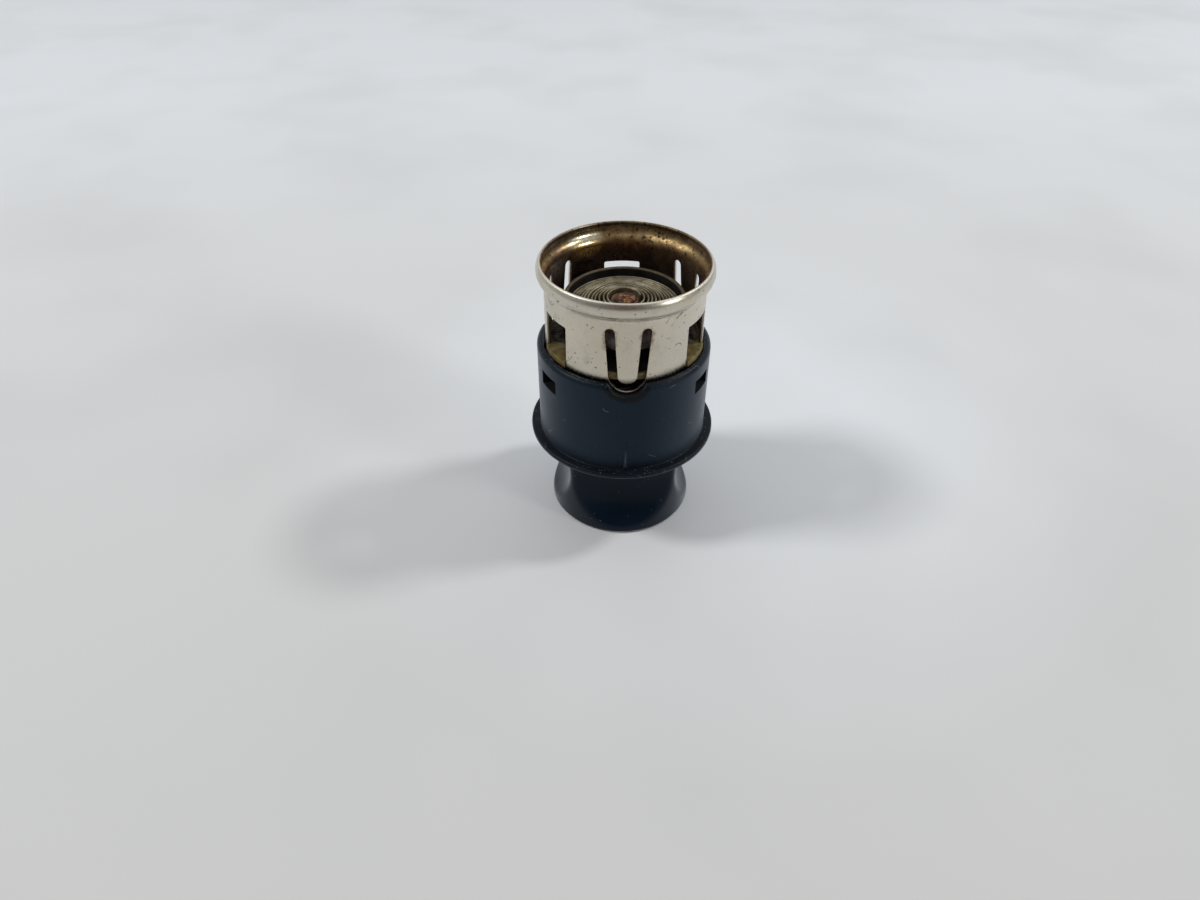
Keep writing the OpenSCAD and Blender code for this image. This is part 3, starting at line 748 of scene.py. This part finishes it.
def resistance_ribbon():
    """Oxidised resistance ribbon, olive grey with pale ash in places."""
    f = Finish("resistance_ribbon")
    f.set(Metallic=0.9)
    tone = f.ramp(f.noise(1.7, detail=5.0, distortion=0.6), [
        (0.3, (0.135, 0.11, 0.065)), (0.5, (0.255, 0.225, 0.15)), (0.7, (0.39, 0.36, 0.285))])
    ash = f.specks(0.5, 0.14)
    tone = f.lay(tone, (0.5, 0.48, 0.42), ash, 0.5)
    f.link(tone, "Base Color")
    f.link(f.plus(0.38, f.times(f.noise(0.4), 0.25)), "Roughness")
    f.bump(f.noise(0.2, detail=3.0), 0.01)
    return f.material


def oxidised_rivet():
    """Orange-brown scale on the rivet's head, nearly black where it is thick, and a painted shadow
    darkening the hub towards its outer edge.
    """
    f = Finish("oxidised_rivet")
    f.set(Metallic=0.3)
    tone = f.ramp(f.noise(0.5, detail=6.0, distortion=0.8), [
        (0.36, (0.016, 0.008, 0.005)), (0.47, (0.075, 0.030, 0.011)), (0.56, (0.19, 0.080, 0.024)),
        (0.7, (0.36, 0.18, 0.07))])
    # Painted shadow: a dark ring towards the outer edge of the hub
    edge = f.between(f.plus(f.reach(), f.times(f.noise(0.5), 0.5)), 1.62, 1.9)
    f.link(f.lay(tone, (0.02, 0.012, 0.01), edge, 0.85), "Base Color")
    f.link(f.plus(0.5, f.times(f.noise(0.3), 0.3)), "Roughness")
    f.bump(f.noise(0.25, detail=5.0), 0.06)
    return f.material


def turned_steel(name, tone, rough):
    """Plain steel with faint turning rings and cloudy wear."""
    f = Finish(name)
    f.set(Metallic=1.0)
    dark = tuple(c * 0.7 for c in tone)
    f.link(f.mix(f.noise(1.5, detail=5.0), dark, tone), "Base Color")
    rings = f.add("ShaderNodeTexNoise", Scale=9.0, Detail=2.0)
    rings.noise_dimensions = "1D"
    f.feed(rings.inputs["W"], f.plus(f.reach(), f.axis("Z")))
    f.link(f.plus(rough, f.times(rings.outputs["Fac"], 0.2)), "Roughness")
    f.bump(rings.outputs["Fac"], 0.006)
    return f.material


def mineral(name, light, dark, grain):
    """Matt insulator: fired ceramic or pressed mica."""
    f = Finish(name)
    f.link(f.mix(f.noise(grain, detail=6.0, distortion=0.4), dark, light), "Base Color")
    f.link(f.plus(0.5, f.times(f.noise(grain / 3), 0.3)), "Roughness")
    f.bump(f.noise(grain / 4, detail=4.0), 0.01)
    return f.material


NICKEL = nickel_plate()
MOUTH = heated_mouth()
CUT_EDGE = cut_edge()
MOULDING = black_moulding()
KNOB = knob_plastic()
CHROMATE = yellow_chromate()
CUP_STEEL = heated_steel()
RIBBON = resistance_ribbon()
RIVET = oxidised_rivet()
BRASS = turned_steel("brass", (0.70, 0.50, 0.22), 0.25)
PLAIN_STEEL = turned_steel("plain_steel", (0.50, 0.49, 0.47), 0.28)
SPRING_STEEL = turned_steel("spring_steel", (0.42, 0.42, 0.43), 0.25)
CERAMIC = mineral("ceramic", (0.72, 0.69, 0.62), (0.52, 0.47, 0.40), 1.2)
MICA = mineral("mica", (0.42, 0.35, 0.22), (0.22, 0.16, 0.09), 0.9)


# Barrel

def barrel_section():
    """Closed section of the drawn barrel: outside up to the lip, round it, and down the inside."""
    bead, lip_angle, hollow = 1.43, 38, 1.0
    mid = bead - SHEET / 2
    bead_x = RIM_R - bead
    bead_z = LIP - SHEET / 2 - mid * math.sin(math.radians(lip_angle))
    lip_x = bead_x + mid * math.cos(math.radians(lip_angle))
    neck_x = BARREL_R + hollow
    rise = math.sqrt((bead + hollow) ** 2 - (neck_x - bead_x) ** 2)
    neck_z = bead_z - rise
    lean = math.degrees(math.atan2(rise, neck_x - bead_x))
    outside = rows(BARREL_R, FOOT, neck_z - 0.3, 24)
    outside += arc(neck_x, neck_z, hollow, 180, 180 - lean, 8)
    outside += arc(bead_x, bead_z, bead, -lean, lip_angle, 26)[1:]
    lip = arc(lip_x, LIP - SHEET / 2, SHEET / 2, lip_angle, lip_angle + 180, 8)[1:]
    inside = arc(bead_x, bead_z, bead - SHEET, lip_angle, -lean, 26)[1:]
    inside += arc(neck_x, neck_z, hollow + SHEET, 180 - lean, 180, 8)[1:]
    inside += rows(BARREL_IN, neck_z - 0.3, FOOT, 24)
    return outside + lip + inside


def window_outline():
    half = WINDOW_W / 2
    c = WINDOW_CORNER
    right = arc(half - c, WINDOW_HIGH - c, c, 0, 90, 6)
    left = arc(c - half, WINDOW_HIGH - c, c, 90, 180, 6)
    return [(-half, WINDOW_LOW), (half, WINDOW_LOW)] + right + left


def slot_outline():
    """The U cut round a tongue: down one leg, round the tip, up the other, and back inside."""
    w = SLOT / 2
    out = arc(LEG_TOP_X, LEG_TOP, w, 180, 0, 8)
    out += arc(0, TIP_Z, TIP_R + w, 0, -180, 24)
    out += arc(-LEG_TOP_X, LEG_TOP, w, 180, 0, 8)
    out += arc(0, TIP_Z, TIP_R - w, -180, 0, 18)
    return out


def on_tongue(p):
    """True for a point on the tongue at azimuth 0, inside the middle line of the U cut."""
    front = -BARREL_R / 2
    rise = max(0, (p.z - TIP_Z) / (LEG_TOP - TIP_Z))
    return p.y < front and p.z > TIP_Z - TIP_R and abs(p.x) < TIP_R + (LEG_TOP_X - TIP_R) * rise


def bend_tongues(barrel):
    """Bends each tongue out at its root and in again at its bend line, one after the other."""
    out = math.atan2(BOW, LEG_TOP - BEND_Z)
    back = out + math.atan2(BOW + TIP_IN, BEND_Z - TIP_Z + TIP_R)
    root = (0, -BARREL_R, LEG_TOP)
    bend = (0, -BARREL_R - BOW, BEND_Z)
    for i in range(THREE):
        pick(barrel, lambda p: on_tongue(p) and p.z < LEG_TOP)
        bpy.ops.transform.rotate(value=out, orient_axis="X", center_override=root)
        pick(barrel, lambda p: on_tongue(p) and p.z < BEND_Z)
        bpy.ops.transform.rotate(value=-back, orient_axis="X", center_override=bend)
        bpy.ops.object.mode_set(mode="OBJECT")
        turn_piece(barrel, TURN / THREE)


def box_outline(half, bottom, top):
    return [(-half, bottom), (half, bottom), (half, top), (-half, top)]


def snap_lug():
    """A snap lug, lanced from the barrel and leaning out at its tip."""
    piece = prism("lug", box_outline(LUG_W / 2, LUG_LOW - 0.1, LUG_HIGH), BARREL_IN, BARREL_R - 0.02)
    pick(piece, lambda p: p.z > LUG_LOW)
    bpy.ops.transform.translate(value=(0, -LUG_OUT, 0))
    bpy.ops.object.mode_set(mode="OBJECT")
    return piece


def give_barrel_finishes(barrel):
    """Nickel outside, the heated finish inside, and the punched edges in their own."""
    nickel, mouth, edge = range(3)
    lip_zone, bead_zone = 0.4, 3.2
    turned_in, sideways = -0.15, 0.6
    for face in barrel.data.polygons:
        x, y, z = face.center / MM
        out = face.normal.dot(Vector((x, y, 0)).normalized())
        if z > LIP - lip_zone:
            face.material_index = mouth if out < turned_in else nickel
        elif z < LIP - bead_zone and abs(out) < sideways:
            face.material_index = edge
        else:
            face.material_index = mouth if out < 0 else nickel


def make_barrel():
    near, far = 7, 11
    slot = prism("slot", slot_outline(), near, far)
    window = prism("window", window_outline(), near, far)
    lug_hole = box_outline(LUG_W / 2 + LUG_CUT, LUG_LOW, LUG_HIGH + LUG_CUT)
    lug_hole = prism("lug_hole", lug_hole, near, far)
    barrel = spun("barrel", barrel_section())
    cut(barrel, copies_round(slot, THREE))
    cut(barrel, copies_round(window, THREE, TURN / 6))
    cut(barrel, copies_round(lug_hole, THREE, TURN / 6))
    bend_tongues(barrel)
    barrel = join([barrel] + copies_round(snap_lug(), THREE, TURN / 6), "barrel")
    smooth(barrel)
    finish_piece(barrel, "housing", "barrel_shell", [NICKEL, MOUTH, CUT_EDGE])
    give_barrel_finishes(barrel)


# Sleeve

def sleeve_section():
    r = SLEEVE_R
    bore = KNOB_R + 0.08
    seat = BARREL_R + 0.02
    mouth = BARREL_R + 0.33
    edge = 0.25
    fillet = 0.16
    top = 0.65
    seat_top = FOOT + 2.7
    out = [(bore, FLANGE + 0.2), (bore + 0.2, FLANGE)]
    out += arc(FLANGE_R - edge, FLANGE + edge, edge, -90, 0, 6)
    out += arc(FLANGE_R - edge, FLANGE + FLANGE_T - edge, edge, 0, 90, 6)
    out += arc(r + fillet, FLANGE + FLANGE_T + fillet, fillet, 270, 180, 8)
    out += rows(r, FLANGE + 2.2, MOUTH_OF_SLEEVE - top - 0.2, 10)
    out += arc(r - top, MOUTH_OF_SLEEVE - top, top, 0, 90, 10)
    out += [(mouth, MOUTH_OF_SLEEVE - 0.05)]
    out += [(mouth, seat_top), (seat, seat_top - 0.05), (seat, FOOT), (bore, FOOT)]
    return out


def notch_outline():
    rise = MOUTH_OF_SLEEVE + 1
    wide = NOTCH_R + (LEG_TOP_X - TIP_R) * (rise - TIP_Z) / (LEG_TOP - TIP_Z)
    return [(wide, rise), (-wide, rise)] + arc(0, TIP_Z, NOTCH_R, 180, 360, 24)


def rib():
    """A thin rib with soft edges that stands on the flange and tapers to nothing at its top."""
    foot, top = FLANGE + FLANGE_T - 0.1, FLANGE + FLANGE_T + RIB_H
    narrowed = 0.35
    piece = prism("rib", box_outline(RIB_T / 2, foot, top), SLEEVE_R - 0.2, SLEEVE_R + RIB_FOOT)
    pick(piece, lambda p: p.z > top - 0.1 and p.y < -SLEEVE_R)
    bpy.ops.transform.translate(value=(0, RIB_FOOT - RIB_TOP, 0))
    bpy.ops.transform.resize(value=(narrowed, 1, 1))
    apply_modifier(
        piece, "BEVEL", "soft_edges", width=0.08, segments=3, limit_method="ANGLE",
        angle_limit=math.radians(40), use_clamp_overlap=True)
    return piece


def make_sleeve():
    near, far = 8.5, 12
    gap = 0.15
    notch = prism("notch", notch_outline(), near, far)
    snap_window = box_outline(SNAP_WINDOW_W / 2, LUG_LOW - gap, LUG_HIGH + gap)
    snap_window = prism("snap_window", snap_window, near, far)
    sleeve = spun("sleeve", sleeve_section())
    cut(sleeve, copies_round(notch, THREE))
    cut(sleeve, copies_round(snap_window, THREE, TURN / 6))
    sleeve = join([sleeve] + copies_round(rib(), THREE), "sleeve")
    smooth(sleeve)
    finish_piece(sleeve, "housing", "collar_sleeve", [MOULDING])


# Knob

SCALLOP_R = 9.0
SCALLOP_DEPTH = 2.35
SCALLOP_AXIS = KNOB_R - SCALLOP_DEPTH + SCALLOP_R
SCALLOP_HALF = math.sqrt(SCALLOP_R ** 2 - (SCALLOP_R - SCALLOP_DEPTH) ** 2)
SCALLOP_LOW = 1.1
SCALLOP_Z = SCALLOP_LOW + SCALLOP_HALF
SCALLOPS = 4
EDGE_SOFTNESS = 0.16


def soft_least(values, softness):
    """The least of some values, blended where two are close, so that edges come out rounded."""
    total = sum(math.exp(-v / softness) for v in values)
    return -softness * math.log(total)


def scallop_share(azimuth, height, reach):
    """How far along a ray from the axis the scalloped surface lies, as a share of its reach."""
    drop = SCALLOP_R ** 2 - (height - SCALLOP_Z) ** 2
    if drop <= 0:
        return 1.0
    wall = SCALLOP_AXIS - math.sqrt(drop)
    limits = [reach]
    least_facing = 0.3
    for i in range(SCALLOPS):
        facing = math.cos(azimuth - i * TURN / SCALLOPS)
        if facing > least_facing:
            limits.append(wall / facing)
    return min(soft_least(limits, EDGE_SOFTNESS), reach) / reach


def knob_section():
    """Half of the knob's section: its face, side, land, spigot, and the pocket for the spring."""
    face_r, edge, chamfer = 4.0, 0.4, 0.2
    spigot_r, pocket_r, insert_r = 7.6, 5.4, 2.5
    land = SCALLOP_Z + SCALLOP_HALF + 0.2
    top = high("knob")
    pocket = low("spring_seat")
    insert_low = low("knob_insert")
    section = [(0.0, 0.0), (face_r, 0.0)] + arc(KNOB_R - edge, edge, edge, -90, 0, 6)
    section += rows(KNOB_R, edge + 0.1, land - 0.15, 84)
    section += [(KNOB_R - 0.15, land), (spigot_r + 0.1, land), (spigot_r, land + 0.1)]
    section += [(spigot_r, top - chamfer), (spigot_r - chamfer, top)]
    section += [(pocket_r + chamfer, top), (pocket_r, top - chamfer), (pocket_r, pocket)]
    section += [(insert_r, pocket), (insert_r, insert_low), (0.0, insert_low)]
    return section


def make_knob():
    """The knob, its side drawn in towards the axis where the scallops are."""
    core_r, face_edge = 8, 0.5
    knob = spun("knob_body", knob_section(), steps=240)
    for v in knob.data.vertices:
        reach = math.hypot(v.co.x, v.co.y)
        if reach > core_r and v.co.z > face_edge:
            share = scallop_share(math.atan2(v.co.x, -v.co.y) % TURN, v.co.z, reach)
            v.co.x *= share
            v.co.y *= share
    smooth(knob, 50)
    finish_piece(knob, "plunger", "knob", [KNOB])


# Element

def make_cup():
    corner, rim, hole = 0.9, 0.25, 2.22
    outer = CUP_INNER + CUP_SHEET
    wall_top = CUP_LIP - rim
    section = [(hole, CUP_BASE)]
    section += arc(outer - corner, CUP_BASE + corner, corner, -90, 0, 8)
    section += [(outer, wall_top - 0.2)]
    section += arc(CUP_INNER + rim, wall_top, rim, -50, 180, 14)
    section += arc(outer - corner, CUP_BASE + corner, corner - CUP_SHEET, 0, -90, 8)
    section += [(hole, CUP_BASE + CUP_SHEET)]
    cup = spun("cup", section, steps=160)
    smooth(cup, 40)
    finish_piece(cup, "plunger", "element_cup", [CUP_STEEL])


def make_coil():
    """The ribbon on edge, wound from the hub to the wall of the cup, each turn a little uneven."""
    ribbon, height, crown = 0.2, 1.6, 1.1
    turns, per_turn = 11, 60
    start = HUB_R + ribbon / 2
    end = CUP_INNER - ribbon / 2
    half = height / 2
    steps = turns * per_turn
    spots = []
    for i in range(steps + 1):
        a = TURN * i / per_turn
        calm = min(1.0, i / per_turn, (steps - i) / per_turn)
        uneven = calm * (0.025 * math.sin(1.7 * a + 0.4) + 0.02 * math.sin(0.63 * a))
        r = start + (end - start) * i / steps + uneven
        drop = crown * i / steps + calm * (0.05 - 0.05 * math.sin(0.81 * a))
        spots.append((r * math.cos(a), r * math.sin(a), COIL_TOP - half - drop))
    coil = swept("coil", spots, extrude=half - ribbon / 2, bevel_depth=ribbon / 2, bevel_resolution=2)
    smooth(coil, 40)
    finish_piece(coil, "plunger", "heating_coil", [RIBBON])


def make_hub():
    bore = 0.72
    section = [(bore, COIL_BASE), (HUB_R, COIL_BASE), (HUB_R, HUB_TOP - 0.12)]
    section += [(HUB_R - 0.1, HUB_TOP), (bore, HUB_TOP)]
    hub = spun("hub", section, 64)
    smooth(hub)
    finish_piece(hub, "plunger", "coil_hub", [RIVET])


def make_rivet():
    """A rivet with a slightly hollow head, its shank down through the stack."""
    head, shank, foot = 1.26, 0.7, low("coil_rivet")
    section = [(0.0, foot), (shank - 0.1, foot), (shank, foot + 0.1)]
    section += [(shank, HUB_TOP), (head - 0.06, HUB_TOP), (head, HUB_TOP + 0.08)]
    section += [(head - 0.04, HUB_TOP + 0.2), (head - 0.22, RIVET_TOP - 0.06)]
    section += [(head * 0.55, RIVET_TOP), (head * 0.3, RIVET_TOP - 0.05), (0.0, RIVET_TOP - 0.08)]
    rivet = spun("rivet", section, 48)
    smooth(rivet, 60)
    finish_piece(rivet, "plunger", "coil_rivet", [RIVET])


# Spring

def make_spring():
    """Return spring of round wire, with a closed turn at each end."""
    wire, mean_r = 0.4, 4.4
    closed, per_turn = 0.85, 40
    open_turns = 5
    length = SPRING_HIGH - SPRING_LOW - 2 * wire
    pitch = (length - 2 * closed) / open_turns
    spots = []
    for i in range((open_turns + 2) * per_turn + 1):
        turn = i / per_turn
        a = TURN * turn
        z = SPRING_LOW + wire + closed * min(turn, 1) + pitch * max(0, min(turn - 1, open_turns))
        z += closed * max(0, turn - 1 - open_turns)
        spots.append((mean_r * math.cos(a), mean_r * math.sin(a), z))
    spring = swept("spring", spots, bevel_depth=wire, bevel_resolution=4)
    smooth(spring, 60)
    finish_piece(spring, "housing", "return_spring", [SPRING_STEEL])
    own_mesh(spring)


def dress_frame_nodes():
    """Gives their finishes to the imported nodes that are shown as they are."""
    finishes = {
        "guide_plate": CHROMATE, "guide_bush": BRASS, "spring_seat": PLAIN_STEEL, "knob_insert": BRASS,
        "lock_washer": SPRING_STEEL, "stud": PLAIN_STEEL, "stop_washer": CUP_STEEL,
        "ceramic_spacer": CERAMIC, "lower_mica": MICA, "upper_mica": MICA}
    for name, material in finishes.items():
        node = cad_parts[name]
        node.data.materials.clear()
        node.data.materials.append(material)


# Floor and light

def add_floor():
    bpy.ops.object.select_all(action="DESELECT")
    bpy.ops.mesh.primitive_plane_add(size=3, location=(0, 0, 0))
    floor = bpy.context.object
    floor.name = "floor"
    f = Finish("pale_table")
    # Painted light: the floor gets lighter towards the back
    base = f.mix(f.between(f.axis("Y"), -60, 160), (0.535, 0.535, 0.523), (0.68, 0.70, 0.715))
    # Painted pool of light round the lighter, centred here
    light_pool_x, light_pool_y = 14, 18
    far = f.diagonal(f.minus(f.axis("X"), light_pool_x), f.minus(f.axis("Y"), light_pool_y))
    base = f.lay(base, (0.68, 0.70, 0.72), f.between(far, 62, 24), 0.8)
    # Soft darker patches laid by a large noise
    dull = f.ramp(f.noise(45.0, detail=2.0), [(0.45, 0), (0.68, 1)])
    f.link(f.lay(base, (0.46, 0.465, 0.465), dull, 0.22), "Base Color")
    f.set(Roughness=0.65)
    floor.data.materials.append(f.material)


def add_area(name, place, aim, size, power):
    data = bpy.data.lights.new(name, "AREA")
    data.shape = "DISK"
    data.size = size
    data.energy = power
    lamp = bpy.data.objects.new(name, data)
    bpy.context.scene.collection.objects.link(lamp)
    lamp.location = place
    lamp.rotation_euler = (Vector(aim) - Vector(place)).to_track_quat("-Z", "Y").to_euler()


def add_light():
    """A room that is brighter above and behind, dark and warm towards the viewer, with three lamps."""
    world = bpy.data.worlds.new("studio")
    bpy.context.scene.world = world
    world.use_nodes = True
    tree = world.node_tree
    back = tree.nodes["Background"]
    where = tree.nodes.new("ShaderNodeTexCoord")

    def along(direction):
        """How far the view of the world points along a direction."""
        node = tree.nodes.new("ShaderNodeVectorMath")
        node.operation = "DOT_PRODUCT"
        node.inputs[1].default_value = direction
        tree.links.new(where.outputs["Generated"], node.inputs[0])
        return node.outputs["Value"]

    level = tree.nodes.new("ShaderNodeMath")
    level.operation = "ADD"
    level.inputs[1].default_value = 0.345
    tree.links.new(along((0, 0.25, 0.12)), level.inputs[0])
    tree.links.new(level.outputs[0], back.inputs["Strength"])
    tint = tree.nodes.new("ShaderNodeValToRGB")
    room, viewer = tint.color_ramp.elements
    room.position, room.color = 0.86, (0.96, 0.985, 1.02, 1)
    viewer.position, viewer.color = 0.95, (0.74, 0.55, 0.53, 1)
    tree.links.new(along((0, -0.87, 0.5)), tint.inputs[0])
    tree.links.new(tint.outputs[0], back.inputs["Color"])
    add_area("lamp_right", (0.62, 0.15, 0.68), (0, 0, 0.02), 0.13, 2.95)
    add_area("lamp_left", (-0.60, -0.03, 0.70), (0, 0, 0.02), 0.18, 3.75)
    add_area("window_right", (0.70, -0.45, 0.38), (0, 0, 0.03), 0.2, 1.4)


add_camera()
make_barrel()
make_sleeve()
make_knob()
make_cup()
make_coil()
make_hub()
make_rivet()
make_spring()
dress_frame_nodes()
add_floor()
add_light()
bpy.context.scene.view_settings.view_transform = "Standard"
